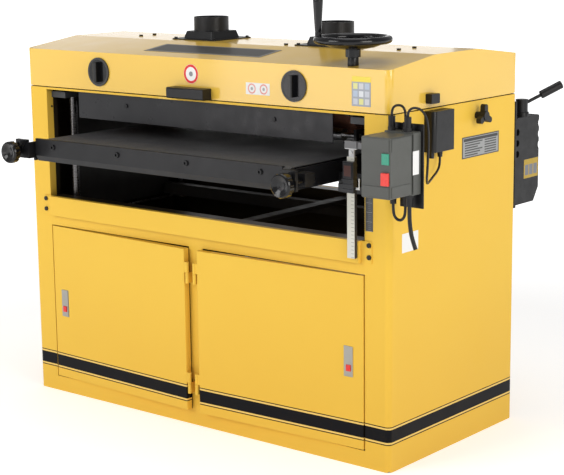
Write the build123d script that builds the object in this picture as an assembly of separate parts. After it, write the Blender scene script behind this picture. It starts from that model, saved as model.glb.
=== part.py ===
from build123d import *

import math
import os

# Wide-belt-fed dual-drum thicknessing sander in a closed sheet-steel cabinet.
# Frame: origin at the centre of the cabinet's footprint on the floor, +X to the
# right seen from the infeed side, +Y to the outfeed side, +Z up. Millimetres.

# ---- driving dimensions -------------------------------------------------
WIDTH = 1360            # cabinet and hood, left to right
DEPTH = 620             # cabinet and hood, infeed face to outfeed face
BODY_TOP = 957          # top of the cabinet's sheet metal
HOOD_BASE = 960         # underside of the hood's walls
HOOD_SHOULDER = 1072    # where the hood's slopes begin
HOOD_TOP = 1098         # flat top of the hood
HOOD_FLAT = 105         # half the depth of the flat top
SHEET = 3               # cabinet and hood sheet
CORNER = 16             # rounded upright corners

THROAT = 600            # half the width between the corner posts
APRON_TOP = 623         # lower edge of the throat
APRON_LOW = 564
APRON_PROUD = 14.4      # the apron stands in front of the cabinet face
RETURN = 42             # depth of the posts' inner webs

DOOR_WIDTH = 572
DOOR_LOW = 50
DOOR_HIGH = 529
DOOR_SHEET = 2.5
DOOR_FLANGE = 20
DOOR_TILT = 2.3         # degrees: the hinge edge stands proud of the frame
DOOR_EDGE = 24.5        # hinge edge, from the centre line
DOOR_FACE = 335         # hinge edge's face, in front of the machine's centre
HINGE_X = 14
HINGE_Y = -333
HINGE_RADIUS = 5.5
HINGE_HALF = 31
HINGE_HEIGHTS = (133, 461)
LATCH_FROM_EDGE = 525   # latch plate's centre, along the door
LATCH_HEIGHT = 289

BELT_TOP = 823          # working height of the conveyor at rest
BELT_HALF = 468
BELT_THICK = 2.2
ROLLER = 25.5           # conveyor roller radius
ROLLER_Y = 440
ROLLER_Z = BELT_TOP - BELT_THICK - ROLLER - 0.3
SIDE_PLATE_IN = 474
SIDE_PLATE_OUT = 482
END_BAR_FACE = 483
BAR_HALF = 466
SCREW_X = 560           # lift screws
SCREW_Y = 239
SCREW_RADIUS = 12
THREAD_PITCH = 5

DRUM_Y = 110
DRUM_Z = 941
DRUM_RADIUS = 76
DRUM_HALF = 470
DRUM_SHAFT = 17.5
PLATE_IN = 588          # inner bearing plates
PLATE_OUT = 598
GUIDE_Y = 176           # pressure frame's guide pins

MOTOR_Z = 240
DRUM_PULLEY = 50
MOTOR_PULLEY = 60
GROOVE_DEPTH = 6
BELT_LINES = (-638.5, -621.5)   # rear and front drum's belts

GEAR_MODULE = 2
PINION_TEETH = 20
LIFT_GEAR_TEETH = 25
GEAR_LOW = 946
GEAR_HIGH = 955
WHEEL_OFFSET = 18.5     # handwheel to the left of the front right lift screw
GEAR_DISTANCE = GEAR_MODULE * (PINION_TEETH + LIFT_GEAR_TEETH) / 2
WHEEL_X = SCREW_X - WHEEL_OFFSET
WHEEL_Y = -SCREW_Y - math.sqrt(GEAR_DISTANCE ** 2 - WHEEL_OFFSET ** 2)
WHEEL_RADIUS = 103
WHEEL_RIM_Z = 1143
RIM_RADIUS = 10
HUB_BASE = 1098
GRIP_BASE = 1163

SWITCH_LEFT = 689       # starter box
SWITCH_RIGHT = 778
SWITCH_FRONT = -445
SWITCH_SPLIT = -355
SWITCH_BACK = -314
SWITCH_LOW = 765
SWITCH_HIGH = 925

PORT_PLACES = ((-212, 14), (261, 14))    # dust ports
PORT_RADIUS = 52.5
PORT_WALL = 3
PORT_TOP = 1164
PORT_NECK = 1122
PORT_FLANGE = 172
PORT_SCREW = 76

LATCH_X = 369           # turn latches on the hood
LATCH_Z = 1015

GEARBOX_LEFT = 530      # feed gearbox behind the cabinet
GEARBOX_RIGHT = 640
GEARBOX_FRONT = 370
GEARBOX_REAR = 505
GEARBOX_LOW = 613
GEARBOX_HIGH = 876

LEVER_X = 620
LEVER_Y = 437

BEAM_LEFT = 563          # measuring beam
BEAM_RIGHT = 587

SIDES = (-1, 1)

os.makedirs("parts", exist_ok=True)


# ---- small helpers --------------------------------------------------------
def block(x0, x1, y0, y1, z0, z1):
    """A box between two opposite corners."""
    size = Box(abs(x1 - x0), abs(y1 - y0), abs(z1 - z0))
    return Pos((x0 + x1) / 2, (y0 + y1) / 2, (z0 + z1) / 2) * size


def rod_x(x0, x1, y, z, radius):
    return Pos((x0 + x1) / 2, y, z) * Rot(0, 90, 0) * Cylinder(radius, abs(x1 - x0))


def rod_y(x, y0, y1, z, radius):
    return Pos(x, (y0 + y1) / 2, z) * Rot(90, 0, 0) * Cylinder(radius, abs(y1 - y0))


def rod_z(x, y, z0, z1, radius):
    return Pos(x, y, (z0 + z1) / 2) * Cylinder(radius, abs(z1 - z0))


def mirrored(x0, x1, side):
    """An X range on the right of the centre line, or its mirror image."""
    return (x0, x1) if side > 0 else (-x1, -x0)


def upright_edges(part, x, y):
    """The upright edges of a part that stand at one X and Y."""
    near = lambda e: abs(abs(e.center().X) - x) < 0.1 and abs(abs(e.center().Y) - y) < 0.1
    return part.edges().filter_by(Axis.Z).filter_by(near)


def write(name, *parts):
    """One node: every given part's solids, in one file."""
    solids = [solid for part in parts for solid in part.solids()]
    export_step(Compound(children=solids), "parts/" + name + ".step")


def tube(points, radius, name):
    """A cord along straight runs joined by arcs as large as the runs allow."""
    spots = [Vector(*point) for point in points]
    radii = []
    for before, here, after in zip(spots, spots[1:], spots[2:]):
        turn = math.radians((here - before).get_angle(after - here))
        shorter = min((here - before).length, (after - here).length)
        radii.append(0.45 * shorter / math.tan(turn / 2))
    path = FilletPolyline(*points, radius=radii)
    section = Plane(origin=path @ 0, z_dir=path % 0) * Circle(radius)
    cord = sweep(section, path=path)
    ratio = cord.volume / (math.pi * radius ** 2 * path.length)
    print(name, "length", round(path.length, 1), "volume ratio", round(ratio, 4),
          "radii", [round(value) for value in radii])
    return cord


def gear(teeth, width, backlash=0.35):
    """A spur gear about Z with involute flanks, standing on Z 0."""
    pitch = GEAR_MODULE * teeth / 2
    base = pitch * math.cos(math.radians(20))
    tip = pitch + 0.85 * GEAR_MODULE
    root = pitch - 1.15 * GEAR_MODULE
    involute = lambda r: math.sqrt((r / base) ** 2 - 1) - math.atan(math.sqrt((r / base) ** 2 - 1))
    half = math.pi / (2 * teeth) - backlash / (2 * pitch) + involute(pitch)
    low = max(base, root) + 0.01
    radii = [low + (tip - low) * step / 4 for step in range(5)]
    outline = []
    for tooth in range(teeth):
        middle = 2 * math.pi * tooth / teeth
        flank = [(radius, half - involute(radius)) for radius in radii]
        rising = [(root, half)] + flank
        for radius, angle in rising:
            outline.append((radius * math.cos(middle - angle), radius * math.sin(middle - angle)))
        for radius, angle in reversed(rising):
            outline.append((radius * math.cos(middle + angle), radius * math.sin(middle + angle)))
    return extrude(make_face(Polyline(*outline, close=True)), amount=width)


def belt_loop(x, width, low, high, thick):
    """A belt round two circles in the YZ plane; each circle is (y, z, radius)."""
    loops = []
    for grow in (thick, 0):
        rings = [Pos(y, z) * Circle(radius + grow) for y, z, radius in (low, high)]
        loops.append(make_hull([edge for ring in rings for edge in ring.edges()]))
    band = extrude(loops[0] - loops[1], amount=width)
    return Pos(x - width / 2, 0, 0) * Plane.YZ.location * band


# ---- cabinet ----------------------------------------------------------------
def side_panel(side):
    """Side sheet, both corner posts and their inner webs: one folded channel."""
    half = WIDTH / 2
    outer = block(THROAT, half, -DEPTH / 2, DEPTH / 2, 0, BODY_TOP)
    outer = fillet(upright_edges(outer, half, DEPTH / 2), CORNER)
    inner = block(THROAT + SHEET, half - SHEET, SHEET - DEPTH / 2, DEPTH / 2 - SHEET, 0, BODY_TOP)
    inner = fillet(upright_edges(inner, half - SHEET, DEPTH / 2 - SHEET), CORNER - SHEET)
    mouth = block(THROAT - 1, THROAT + SHEET + 1, RETURN - DEPTH / 2, DEPTH / 2 - RETURN, 0, BODY_TOP)
    foot = block(THROAT, half - SHEET, SHEET - DEPTH / 2, DEPTH / 2 - SHEET, 0, SHEET)
    panel = outer - inner - mouth - foot
    return panel if side > 0 else mirror(panel, about=Plane.YZ)


def front_panel():
    """Door frame: rails, the hollow centre post and the fixed hinge halves."""
    front = -DEPTH / 2
    panel = block(-THROAT, THROAT, front, front + SHEET, 0, APRON_TOP - SHEET)
    for side in SIDES:
        panel -= block(*mirrored(26, THROAT, side), front - 1, front + SHEET + 1, 47, 532)
    post = block(-26, 26, front + SHEET, front + RETURN, SHEET, APRON_LOW)
    post -= block(-23, 23, front + SHEET, front + RETURN, SHEET, APRON_LOW)
    panel += post
    for side in SIDES:
        for height in HINGE_HEIGHTS:
            x = HINGE_X * side
            panel += rod_z(x, HINGE_Y, height - HINGE_HALF, height - 0.3, HINGE_RADIUS)
            panel += rod_z(x, HINGE_Y, height - 1, height + HINGE_HALF, 2.5)
            panel += block(x - 3, x + 3, HINGE_Y, front, height - HINGE_HALF, height - 0.3)
    return panel


def rear_panel():
    """Closed outfeed-side sheet with two banks of cooling slots."""
    panel = block(-THROAT, THROAT, DEPTH / 2 - SHEET, DEPTH / 2, 0, APRON_TOP - SHEET)
    for side in SIDES:
        for row in range(8):
            z = 250 + 20 * row
            panel -= block(*mirrored(250, 350, side), DEPTH / 2 - 5, DEPTH / 2 + 2, z, z + 6)
    return panel


def throat_rails():
    """Aprons below the throat and thin rails above it, at both ends."""
    rails = []
    face = DEPTH / 2 + APRON_PROUD
    for end in SIDES:
        apron = block(-590, 590, end * face, end * (DEPTH / 2 - RETURN), APRON_LOW, APRON_TOP)
        hollow = block(-588, 588, end * (face - SHEET), end * (DEPTH / 2 - RETURN - 1), APRON_LOW - 1,
                       APRON_TOP - SHEET)
        apron -= hollow
        apron -= block(-591, 591, end * (DEPTH / 2), end * (DEPTH / 2 - RETURN - 1), APRON_LOW - 1,
                       APRON_TOP - SHEET)
        for side in SIDES:
            ear = mirrored(588, 624, side)
            apron += block(*ear, end * (DEPTH / 2), end * (DEPTH / 2 + SHEET), APRON_LOW, APRON_TOP)
        rail = block(-THROAT, THROAT, end * (DEPTH / 2 - SHEET), end * (DEPTH / 2), 951, BODY_TOP)
        rail += block(-THROAT, THROAT, end * 280, end * (DEPTH / 2), BODY_TOP - SHEET, BODY_TOP)
        if end < 0:
            rail -= rod_z(WHEEL_X, WHEEL_Y, 940, BODY_TOP + 1, 25)
        rails += [apron, rail]
    hinge_y = DEPTH / 2 + 6
    for side in SIDES:
        x0, x1 = mirrored(452, 480, side)
        rails[3] += rod_x(x0, x1, hinge_y, HOOD_BASE - 1.5, 6)
        rails[3] += rod_x(x0 - 28, x1 + 28, hinge_y, HOOD_BASE - 1.5, 3)
        rails[3] += block(x0, x1, DEPTH / 2, hinge_y, 951, HOOD_BASE - 1.5)
    return rails


def inner_frame():
    """Bearing plates, base pan, cross tubes, motor stand and pressure guides."""
    pan = RectangleRounded(WIDTH - 2 * SHEET, DEPTH - 2 * SHEET, CORNER - SHEET)
    pieces = [extrude(pan, amount=SHEET)]
    for side in SIDES:
        x0, x1 = mirrored(PLATE_IN, PLATE_OUT, side)
        plate = block(x0, x1, -205, 205, 562, 954) + block(x0, x1, -175, 175, 953, 992)
        for end in SIDES:
            plate -= rod_x(x0 - 1, x1 + 1, end * DRUM_Y, DRUM_Z, DRUM_SHAFT + 3)
            guide = block(*mirrored(495, PLATE_IN, side), end * GUIDE_Y - 12, end * GUIDE_Y + 12, 908, 916)
            pieces.append(guide - rod_z(side * 504, end * GUIDE_Y, 900, 920, 6.06))
        pieces.append(plate)
    for end in SIDES:
        outer = block(-PLATE_IN, PLATE_IN, end * 184, end * 213.7, 562, 598)
        inner = block(-PLATE_IN, PLATE_IN, end * 187, end * 210.7, 565, 595)
        pieces.append(outer - inner)
    brace = block(100, 140, -300, 300, 598, 612)
    pieces.append(brace - block(103, 137, -300, 300, 598, 609))
    pieces.append(block(-560, -240, -140, 140, 117, 123))
    for end in SIDES:
        pieces.append(block(-560, -240, end * 124, end * 130, SHEET, 117))
    return pieces


def drum_guards():
    """Dark plates that hang in front of and behind the drums."""
    guards = []
    for end in SIDES:
        plate = block(-481, 481, end * 287, end * 290, 870, BODY_TOP - SHEET)
        plate += block(-481, 481, end * 281, end * 287, 945, BODY_TOP - SHEET)
        guards.append(plate)
    return guards


def bearing_blocks():
    """Four drum bearings, and top and bottom bearings for the four lift screws."""
    blocks = []
    for side in SIDES:
        for end in SIDES:
            x0, x1 = mirrored(566, PLATE_IN, side)
            housing = block(x0, x1, end * DRUM_Y - 43, end * DRUM_Y + 43, DRUM_Z - 43, DRUM_Z + 43)
            housing = fillet(housing.edges().filter_by(Axis.X), 12)
            housing -= rod_x(x0 - 1, x1 + 1, end * DRUM_Y, DRUM_Z, DRUM_SHAFT + 0.05)
            blocks.append(housing)
            for low, high, reach in ((563, 583, 0), (925, 943, 26)):
                x0, x1 = mirrored(540, PLATE_IN if reach == 0 else THROAT, side)
                bracket = block(x0, x1, end * 214, end * (264 + reach), low, high)
                bracket -= rod_z(side * SCREW_X, end * SCREW_Y, low - 1, high + 1, 10.05)
                blocks.append(bracket)
    return blocks


def lift_chain():
    """Chain that ties the four lift screws' sprockets, as one closed band."""
    band = RectangleRounded(2 * (SCREW_X + 26.5), 2 * (SCREW_Y + 26.5), 26.5)
    band -= RectangleRounded(2 * (SCREW_X + 23), 2 * (SCREW_Y + 23), 23)
    return Pos(0, 0, 548) * extrude(band, amount=6)


def main_motor():
    """Cylindrical motor on feet, with its terminal box and fan cowl."""
    motor = rod_x(-560, -300, 0, MOTOR_Z, 88) + rod_x(-300, -262, 0, MOTOR_Z, 92)
    for angle in range(0, 360, 15):
        rib = block(-545, -305, -1.5, 1.5, 86, 94)
        motor += Pos(0, 0, MOTOR_Z) * Rot(angle, 0, 0) * rib
    motor += block(-520, -340, -100, 100, 123, 133) + block(-500, -360, -70, 70, 133, 170)
    motor += block(-490, -390, 60, 125, MOTOR_Z - 45, MOTOR_Z + 45)
    return motor - rod_x(-561, -520, 0, MOTOR_Z, 14.05)


def drive_belts():
    """One belt from the motor up to each drum."""
    belts = []
    groove = GROOVE_DEPTH - 0.3
    for x, end in zip(BELT_LINES, (1, -1)):
        low = (0, MOTOR_Z, MOTOR_PULLEY - groove)
        high = (end * DRUM_Y, DRUM_Z, DRUM_PULLEY - groove)
        belts.append(belt_loop(x, 12.4, low, high, 7))
    return belts


def pulley(x, y, z, radius):
    """A grooved pulley about X."""
    wheel = rod_x(x - 8.2, x + 8.2, y, z, radius)
    return wheel - (rod_x(x - 6.5, x + 6.5, y, z, radius + 1)
                    - rod_x(x - 7, x + 7, y, z, radius - GROOVE_DEPTH))


def motor_pulley():
    shaft = rod_x(-655, -521, 0, MOTOR_Z, 14)
    return [shaft + pulley(BELT_LINES[0], 0, MOTOR_Z, MOTOR_PULLEY)
            + pulley(BELT_LINES[1], 0, MOTOR_Z, MOTOR_PULLEY)]


def drum(end):
    """Sanding drum on its shaft, with its pulley at the left end."""
    body = rod_x(-DRUM_HALF, DRUM_HALF, end * DRUM_Y, DRUM_Z, DRUM_RADIUS)
    line = BELT_LINES[0] if end > 0 else BELT_LINES[1]
    shaft = rod_x(-655, 592, end * DRUM_Y, DRUM_Z, DRUM_SHAFT)
    return body + shaft + pulley(line, end * DRUM_Y, DRUM_Z, DRUM_PULLEY)


# ---- lift screws ------------------------------------------------------------
def lift_screw(side, end):
    """Ringed thread with plain journals, a bottom sprocket and, at one corner, a gear."""
    low, high = 585, 923
    count = int((high - low) / THREAD_PITCH)
    crest = THREAD_PITCH / 4
    outline = [(0, low), (10, low)]
    for ring in range(count):
        z = low + ring * THREAD_PITCH
        outline += [(10, z + crest), (SCREW_RADIUS, z + 1.6 * crest)]
        outline += [(SCREW_RADIUS, z + 3 * crest), (10, z + 3.6 * crest)]
    outline += [(10, high), (0, high)]
    screw = revolve(make_face(Plane.XZ * Polyline(*outline, close=True)), Axis.Z)
    screw += rod_z(0, 0, 545, low, 10) + rod_z(0, 0, high, 944, 10)
    sprocket = rod_z(0, 0, 548, 554, 20)
    for tooth in range(16):
        sprocket += Rot(0, 0, 360 * tooth / 16) * block(19, 22.6, -1.6, 1.6, 549.5, 552.5)
    screw += sprocket
    if side > 0 and end < 0:
        screw += rod_z(0, 0, 943.5, GEAR_LOW, 10)
        screw += Pos(0, 0, GEAR_LOW) * Rot(0, 0, mesh_angle()) * gear(LIFT_GEAR_TEETH, GEAR_HIGH - GEAR_LOW)
    return Pos(side * SCREW_X, end * SCREW_Y, 0) * screw


def mesh_angle():
    """Direction from the lift screw to the handwheel, where a gear tooth points."""
    return math.degrees(math.atan2(WHEEL_Y + SCREW_Y, WHEEL_X - SCREW_X))


# ---- doors --------------------------------------------------------------------
def place_on_door(part, side):
    """From the door's own frame (along the door, inwards, up) to the machine."""
    placed = Pos(DOOR_EDGE, -DOOR_FACE, 0) * Rot(0, 0, DOOR_TILT) * part
    return placed if side > 0 else mirror(placed, about=Plane.YZ)


def door(side):
    """Folded pan with its hinge leaves, and the separate bright latch plate."""
    pan = block(0, DOOR_WIDTH, 0, DOOR_FLANGE, DOOR_LOW, DOOR_HIGH)
    pan = fillet(upright_edges(pan, DOOR_WIDTH, 0) + pan.edges().filter_by(Axis.Z).filter_by(
        lambda e: abs(e.center().X) < 0.1 and abs(e.center().Y) < 0.1), 2.4)
    pan -= block(DOOR_SHEET, DOOR_WIDTH - DOOR_SHEET, DOOR_SHEET, DOOR_FLANGE + 1,
                 DOOR_LOW + DOOR_SHEET, DOOR_HIGH - DOOR_SHEET)
    stiffener = block(250, 320, DOOR_SHEET, 14, DOOR_LOW + DOOR_SHEET, DOOR_HIGH - DOOR_SHEET)
    pan += stiffener - block(252, 318, DOOR_SHEET, 12, DOOR_LOW, DOOR_HIGH)
    pan -= block(LATCH_FROM_EDGE - 10, LATCH_FROM_EDGE + 10, -1, 5, LATCH_HEIGHT - 34, LATCH_HEIGHT + 34)
    plate = block(LATCH_FROM_EDGE - 14, LATCH_FROM_EDGE + 14, -1.6, 0, LATCH_HEIGHT - 42, LATCH_HEIGHT + 42)
    plate = fillet(plate.edges().filter_by(Axis.Y), 2)
    housing = block(LATCH_FROM_EDGE - 9.7, LATCH_FROM_EDGE + 9.7, 0, 16, LATCH_HEIGHT - 33, LATCH_HEIGHT + 33)
    latch = plate + housing
    latch -= block(LATCH_FROM_EDGE - 7.3, LATCH_FROM_EDGE + 7.3, -2, 12, LATCH_HEIGHT - 27, LATCH_HEIGHT - 9)
    latch = place_on_door(latch, side)
    pan = place_on_door(pan, side)
    for height in HINGE_HEIGHTS:
        leaf = block(HINGE_X, DOOR_EDGE + 1.5, HINGE_Y - 2, HINGE_Y + 4, height + 0.3, height + HINGE_HALF)
        leaf += rod_z(HINGE_X, HINGE_Y, height + 0.3, height + HINGE_HALF, HINGE_RADIUS)
        leaf -= rod_z(HINGE_X, HINGE_Y, height - 1, height + HINGE_HALF + 1, 2.55)
        pan += leaf if side > 0 else mirror(leaf, about=Plane.YZ)
    return [pan, latch]


def latch_button(side):
    button = block(LATCH_FROM_EDGE - 7, LATCH_FROM_EDGE + 7, -4.5, 7, LATCH_HEIGHT - 26.7, LATCH_HEIGHT - 9.3)
    button = fillet(button.faces().sort_by(Axis.Y)[0].edges(), 1)
    return place_on_door(button, side)


# ---- hood ---------------------------------------------------------------------
def hood_form(inset, bottom):
    """Solid with the hood's section, drawn in by the sheet's thickness."""
    front = DEPTH / 2 - inset
    top = HOOD_TOP - inset
    shoulder = HOOD_SHOULDER - inset
    section = Polyline((-front, bottom), (-front, shoulder), (-HOOD_FLAT, top), (HOOD_FLAT, top),
                       (front, shoulder), (front, bottom), close=True)
    form = extrude(Plane.YZ * make_face(section), amount=WIDTH / 2 - inset, both=True)
    corners = upright_edges(form, WIDTH / 2 - inset, front)
    form = fillet(corners, CORNER - inset)
    return form


def hood_shell():
    shell = hood_form(0, HOOD_BASE) - hood_form(SHEET, HOOD_BASE - 1)
    for x, y in PORT_PLACES:
        shell -= rod_z(x, y, HOOD_TOP - 10, HOOD_TOP + 5, PORT_RADIUS - PORT_WALL)
    for side in SIDES:
        shell -= rod_y(side * LATCH_X, -320, -300, LATCH_Z, 8.4)
        x0, x1 = mirrored(424, 451.5, side)
        shell += hood_knuckle(x0, x1)
        x0, x1 = mirrored(480.5, 508, side)
        shell += hood_knuckle(x0, x1)
    shell -= rod_z(WHEEL_X, WHEEL_Y, HOOD_SHOULDER - 20, HOOD_TOP, 13.7)
    return shell


def hood_knuckle(x0, x1):
    """Hinge knuckle on the hood's rear wall."""
    hinge_y = DEPTH / 2 + 6
    hinge_z = HOOD_BASE - 1.5
    knuckle = rod_x(x0, x1, hinge_y, hinge_z, 6)
    knuckle += block(x0, x1, DEPTH / 2 - 0.5, hinge_y, hinge_z + 2, hinge_z + 22)
    return knuckle - rod_x(x0 - 1, x1 + 1, hinge_y, hinge_z, 3.06)


def slope_z(y):
    """Height of the hood's infeed-side slope."""
    return HOOD_SHOULDER + (y + DEPTH / 2) * (HOOD_TOP - HOOD_SHOULDER) / (DEPTH / 2 - HOOD_FLAT)


def slope_angle():
    return math.degrees(math.atan2(HOOD_TOP - HOOD_SHOULDER, DEPTH / 2 - HOOD_FLAT))


def hood_fittings():
    """Pull handle, handwheel bush, side safety switch and cover screws."""
    pull = block(-66, 72, -346, -DEPTH / 2, HOOD_BASE, HOOD_BASE + 31)
    pull = fillet(pull.edges().filter_by(Axis.X).sort_by(Axis.Y)[0:2], 5)
    pull -= block(-54, 60, -336, -318, HOOD_BASE - 1, HOOD_BASE + 20)
    bush = rod_z(WHEEL_X, WHEEL_Y, HOOD_SHOULDER - 5, HUB_BASE - 0.5, 14.4) - hood_form(0, HOOD_BASE)
    bush -= rod_z(WHEEL_X, WHEEL_Y, 1000, 1100, 11.05)
    safety = block(WIDTH / 2, WIDTH / 2 + 20, -150, -112, HOOD_BASE + 12, HOOD_BASE + 38)
    safety = fillet(safety.edges().filter_by(Axis.X), 4)
    fittings = [pull, bush, safety]
    for x, y in PORT_PLACES:
        for dx in SIDES:
            for dy in SIDES:
                screw = rod_z(x + dx * PORT_SCREW, y + dy * PORT_SCREW, HOOD_TOP + SHEET, HOOD_TOP + SHEET + 4, 5)
                fittings.append(screw)
    for x, y in ((-470, -26), (-470, 34), (517, -40), (517, 34), (140, -62)):
        fittings.append(rod_z(x, y, HOOD_TOP, HOOD_TOP + 4, 6))
    return fittings


def dust_port(x, y):
    """Square flange, square tapered base and round spigot, open right through."""
    flange = block(-PORT_FLANGE / 2, PORT_FLANGE / 2, -PORT_FLANGE / 2, PORT_FLANGE / 2, 0, SHEET)
    flange = fillet(flange.edges().filter_by(Axis.Z), 8)
    neck = PORT_NECK - HOOD_TOP
    base = loft([Pos(0, 0, SHEET) * RectangleRounded(124, 124, 10), Pos(0, 0, neck) * RectangleRounded(110, 110, 8)])
    spigot = rod_z(0, 0, neck, PORT_TOP - HOOD_TOP, PORT_RADIUS)
    port = flange + base + spigot
    port -= rod_z(0, 0, -1, PORT_TOP, PORT_RADIUS - PORT_WALL)
    return Pos(x, y, HOOD_TOP) * port


def latch_bezels():
    rings = []
    for side in SIDES:
        ring = rod_y(side * LATCH_X, -315, -DEPTH / 2, LATCH_Z, 42) - rod_y(side * LATCH_X, -320, -300, LATCH_Z, 36)
        rings.append(ring)
    return rings


def hood_latch(side):
    """Round turn knob with a grip bar, its spindle and a short cam."""
    dish = rod_y(0, -314.5, -310.4, 0, 35.6)
    bar = block(-6.5, 6.5, -331, -314, -29, 29)
    bar = fillet(bar.edges().filter_by(Axis.Z).sort_by(Axis.Y)[0:2], 4)
    spindle = rod_y(0, -312, -292, 0, 8)
    cam = block(-8, 8, -296, -292, -34, 10)
    return Pos(side * LATCH_X, 0, LATCH_Z) * (dish + bar + spindle + cam)


def hood_labels():
    """Blank plates: name plate on the slope, a round sign and two stickers."""
    thick = 0.8
    plate = Box(440, 98, thick)
    name_y = -206
    plates = [Pos(-17, name_y, slope_z(name_y) + 0.41) * Rot(slope_angle(), 0, 0) * plate]
    face = -DEPTH / 2
    plates.append(rod_y(-2, face - thick, face, 1028, 27))
    plates.append(block(200, 284, face - thick, face, 984, 1016))
    plates.append(block(560, 620, face - thick, face, 975, 1052))
    return plates


def handwheel():
    """Dished wheel with its collar, shaft and the pinion that drives the lift."""
    shaft = rod_z(0, 0, GEAR_HIGH - 1, HUB_BASE + 2, 11)
    collar = rod_z(0, 0, HUB_BASE, 1122, 20)
    rim = Pos(0, 0, WHEEL_RIM_Z) * Torus(WHEEL_RADIUS - RIM_RADIUS, RIM_RADIUS)
    dish = make_face(Plane.XZ * Polyline((0, 1117), (24, 1117), (60, 1124), (94, 1137), (94, 1144),
                                         (60, 1131), (26, 1126), (0, 1126), close=True))
    wheel = revolve(dish, Axis.Z)
    cap = rod_z(0, 0, 1124, 1131, 15)
    grip_x, grip_y = grip_place()
    boss = rod_z(grip_x, grip_y, WHEEL_RIM_Z, GRIP_BASE - 0.3, 8.5)
    pin = rod_z(grip_x, grip_y, 1150, 1246, 5)
    pinion_turn = mesh_angle() + 180 + 180 / PINION_TEETH
    pinion = Pos(0, 0, GEAR_LOW) * Rot(0, 0, pinion_turn) * gear(PINION_TEETH, GEAR_HIGH - GEAR_LOW)
    whole = shaft + collar + wheel + rim + cap + boss + pin + pinion
    return Pos(WHEEL_X, WHEEL_Y, 0) * whole


def grip_place():
    """The grip's place on the rim, from the wheel's centre."""
    reach = WHEEL_RADIUS - 13
    heading = math.radians(219)
    return reach * math.cos(heading), reach * math.sin(heading)


def handwheel_grip():
    """Tapered handle that turns on the pin in the rim."""
    outline = make_face(Plane.XZ * Polyline((0, GRIP_BASE), (8, GRIP_BASE), (9, 1170), (13.2, 1240), (13.2, 1245),
                                            (11.5, 1251), (7, 1255), (0, 1255), close=True))
    grip = revolve(outline, Axis.Z)
    grip -= rod_z(0, 0, 1150, 1246.5, 5.06)
    grip_x, grip_y = grip_place()
    return Pos(WHEEL_X + grip_x, WHEEL_Y + grip_y, 0) * grip


# ---- conveyor table -----------------------------------------------------------
def lift_lug(side, end):
    """Lug with the plain bore that the lift screw runs through."""
    lug = block(*mirrored(SIDE_PLATE_OUT - 2, 584, side), end * 214, end * 264, 735, 790)
    return lug - rod_z(side * SCREW_X, end * SCREW_Y, 730, 795, SCREW_RADIUS + 0.06)


def table_frame():
    """Side plates, cross tubes, platen, lift lugs and the take-up brackets."""
    pieces = []
    for side in SIDES:
        x0, x1 = mirrored(SIDE_PLATE_IN, SIDE_PLATE_OUT, side)
        plate = block(x0, x1, -478, 478, 764, 819)
        plate -= rod_x(x0 - 1, x1 + 1, ROLLER_Y, ROLLER_Z, 10.05)
        plate -= block(x0 - 1, x1 + 1, -ROLLER_Y - 10.5, -ROLLER_Y + 17, ROLLER_Z - 10.5, ROLLER_Z + 10.5)
        for end in SIDES:
            plate += lift_lug(side, end)
        x0, x1 = mirrored(SIDE_PLATE_OUT - 1, 526, side)
        bracket = block(x0, x1, -502, -494, 772, 827) + block(*mirrored(474, 484, side), -502, -470, 772, 819)
        gusset = Polyline((side * 482, 827), (side * 526, 827), (side * 526, 800), (side * 500, 800), close=True)
        bracket += Pos(0, -502, 0) * extrude(Plane.XZ * make_face(gusset), amount=4)
        bracket += rod_y(side * 508, -513, -500, 814, 8) - rod_y(side * 508, -514, -508, 814, 4)
        plate += bracket - rod_y(side * 511.5, -510, -490, 792, 6.3)
        pieces.append(plate)
    whole = pieces[0] + pieces[1]
    for end in SIDES:
        whole += block(-SIDE_PLATE_IN, SIDE_PLATE_IN, end * 180, end * 220, 774, 812)
    whole += block(-460, 460, -405, 405, 812, BELT_TOP - BELT_THICK)
    return whole


def conveyor_belt():
    """Endless belt round both rollers."""
    span = 2 * ROLLER_Y
    outer = SlotCenterToCenter(span, 2 * (ROLLER + 0.3 + BELT_THICK))
    inner = SlotCenterToCenter(span, 2 * (ROLLER + 0.3))
    band = extrude(outer - inner, amount=BELT_HALF, both=True)
    return Pos(0, 0, ROLLER_Z) * Plane.YZ.location * band


def conveyor_roller(end):
    y = end * ROLLER_Y
    left = -500
    right = 500 if end < 0 else 545
    roller = rod_x(-462, 462, y, ROLLER_Z, ROLLER)
    return roller + rod_x(left if end < 0 else -490, right, y, ROLLER_Z, 10)


def end_bars():
    """Folded bars across both ends of the conveyor, with their socket screws."""
    pieces = []
    for end in SIDES:
        face = END_BAR_FACE
        bar = block(-BAR_HALF, BAR_HALF, end * face, end * (face - 4), 780, 830)
        bar += block(-BAR_HALF, BAR_HALF, end * (face - 4), end * (face - 10), 826, 830)
        lip = Plane.YZ * make_face(Polyline((-face, 781), (-face + 9, 764), (-face + 13, 764),
                                            (-face + 4, 781), close=True))
        lip = extrude(lip, amount=BAR_HALF, both=True)
        bar += lip if end < 0 else mirror(lip, about=Plane.XZ)
        for side in SIDES:
            tab = block(*mirrored(455, SIDE_PLATE_IN, side), end * (face - 4), end * (face - 9), 784, 818)
            bar += tab
            for x in (131, 392):
                head = rod_y(side * x, end * face, end * (face + 5), 809, 8)
                head = fillet(head.faces().sort_by(Axis.Y)[0 if end < 0 else -1].edges(), 1.5)
                socket = rod_y(side * x, end * (face + 1.5), end * (face + 6), 809, 4)
                bar += head - socket
        pieces.append(bar)
    return pieces


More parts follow.
